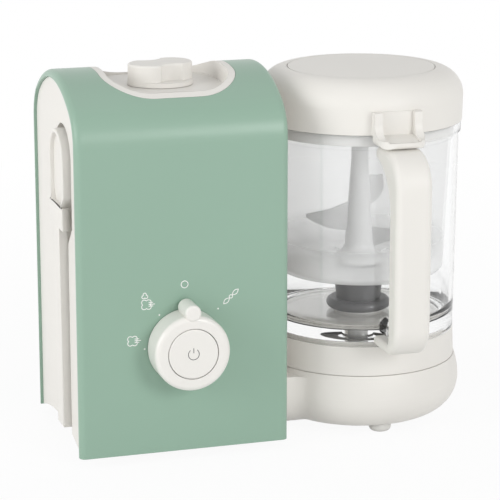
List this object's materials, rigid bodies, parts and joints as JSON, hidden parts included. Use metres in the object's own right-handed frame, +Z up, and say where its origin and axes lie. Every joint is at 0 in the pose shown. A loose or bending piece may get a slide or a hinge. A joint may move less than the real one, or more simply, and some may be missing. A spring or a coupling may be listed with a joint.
{
  "type": "baby food maker",
  "caption": "Countertop baby food maker: an arched green tower with tank cap, dial and spatula beside a clear lidded steaming and blending bowl with a handle.",
  "frame": {"origin": "middle of the bounding box on the table, at the bottom of the feet", "axes": "+X from the tower to the bowl, front towards -Y, +Z up"},
  "size_m": [0.282, 0.1745, 0.2525],
  "materials": {
    "sage_plastic": "satin sage green moulding",
    "white_plastic": "soft gloss warm white moulding",
    "clear_plastic": "clear, polished",
    "frosted_plastic": "frosted, translucent",
    "grey_plastic": "satin grey moulding",
    "dark_plastic": "satin charcoal moulding",
    "silicone": "matt translucent silicone",
    "rubber": "matt",
    "steel": "plain stainless",
    "aluminium": "machined",
    "brass": "sintered bronze",
    "board": "coated laminate"
  },
  "bodies": {
    "housing": {"wrap_shell": "sage_plastic", "left_side_cover": "white_plastic", "right_side_cover": "white_plastic", "filler_dish": "white_plastic", "base_housing": "white_plastic", "base_plate": "white_plastic", "rubber_feet": "rubber", "base_screws": "steel", "upper_bearing": "brass", "lower_bearing": "brass", "drive_belt": "rubber", "motor_bracket": "steel", "motor_can": "steel", "motor_screws": "steel", "boiler": "steel", "heating_element": "steel", "thermostat": "aluminium", "steam_pipe": "silicone", "steam_nozzle": "white_plastic", "nozzle_seal": "silicone", "knob_sleeve": "dark_plastic", "rotary_switch": "dark_plastic", "control_board": "board", "push_switch": "dark_plastic", "button_spring": "steel", "cord_gland": "dark_plastic"},
    "knob": {"selector_knob": "white_plastic"},
    "button": {"start_button": "white_plastic"},
    "cap_carrier": {"cap_seal": "silicone"},
    "cap": {"tank_cap": "white_plastic"},
    "spatula": {"spatula": "white_plastic"},
    "bowl": {"jug": "clear_plastic", "jug_collar": "white_plastic", "jug_handle": "white_plastic", "blade_bush": "dark_plastic", "hub_seal": "silicone", "steam_basket": "frosted_plastic"},
    "blade": {"blade_shaft": "steel", "blade_hub": "grey_plastic", "middle_blade": "steel", "upper_blade": "steel", "lower_blade": "steel", "blade_coupling": "dark_plastic"},
    "lid_carrier": {"lid_seal": "silicone"},
    "lid": {"lid_shell": "white_plastic", "lid_disc": "white_plastic"},
    "spindle": {"drive_spindle": "steel", "driven_pulley": "grey_plastic", "drive_coupling": "dark_plastic"},
    "rotor": {"motor_shaft": "steel", "motor_pulley": "aluminium", "motor_fan": "dark_plastic"}
  },
  "joints": [
    {"name": "knob_turn", "type": "hinge", "parent": "housing", "child": "knob", "pos_m": [-0.0705, -0.04625, 0.077], "axis": [0, -1, 0], "range_deg": [-45, 90]},
    {"name": "button_press", "type": "slide", "parent": "housing", "child": "button", "axis": [0, 1, 0], "range_m": [0, 0.0025], "stiffness_N_per_m": 400, "springref_m": -0.003, "deforming": ["button_spring"]},
    {"name": "cap_lift", "type": "slide", "parent": "housing", "child": "cap_carrier", "axis": [0, 0, 1], "range_m": [0, 0.05]},
    {"name": "cap_turn", "type": "hinge", "parent": "cap_carrier", "child": "cap", "pos_m": [-0.0685, 0.01775, 0.24], "axis": [0, 0, 1], "range_deg": [0, 90]},
    {"name": "spatula_pull", "type": "slide", "parent": "housing", "child": "spatula", "axis": [-1, 0, 0], "range_m": [0, 0.06]},
    {"name": "bowl_lift", "type": "slide", "parent": "housing", "child": "bowl", "axis": [0, 0, 1], "range_m": [0, 0.12]},
    {"name": "lid_lift", "type": "slide", "parent": "bowl", "child": "lid_carrier", "axis": [0, 0, 1], "range_m": [0, 0.1]},
    {"name": "lid_twist", "type": "hinge", "parent": "lid_carrier", "child": "lid", "pos_m": [0.0715, 0.01775, 0.22], "axis": [0, 0, 1], "range_deg": [0, 30]},
    {"name": "spindle_spin", "type": "hinge", "parent": "housing", "child": "spindle", "pos_m": [0.0715, 0.01775, 0.03], "axis": [0, 0, 1], "continuous": true},
    {"name": "motor_spin", "type": "hinge", "parent": "housing", "child": "rotor", "pos_m": [-0.0445, 0.01775, 0.06], "axis": [0, 0, 1], "continuous": true},
    {"name": "blade_spin", "type": "hinge", "parent": "bowl", "child": "blade", "pos_m": [0.0715, 0.01775, 0.11], "axis": [0, 0, 1], "continuous": true}
  ],
  "couplings": [
    {"joint": "motor_spin", "follows": "spindle_spin", "ratio": 3},
    {"joint": "blade_spin", "follows": "spindle_spin", "ratio": 1}
  ]
}
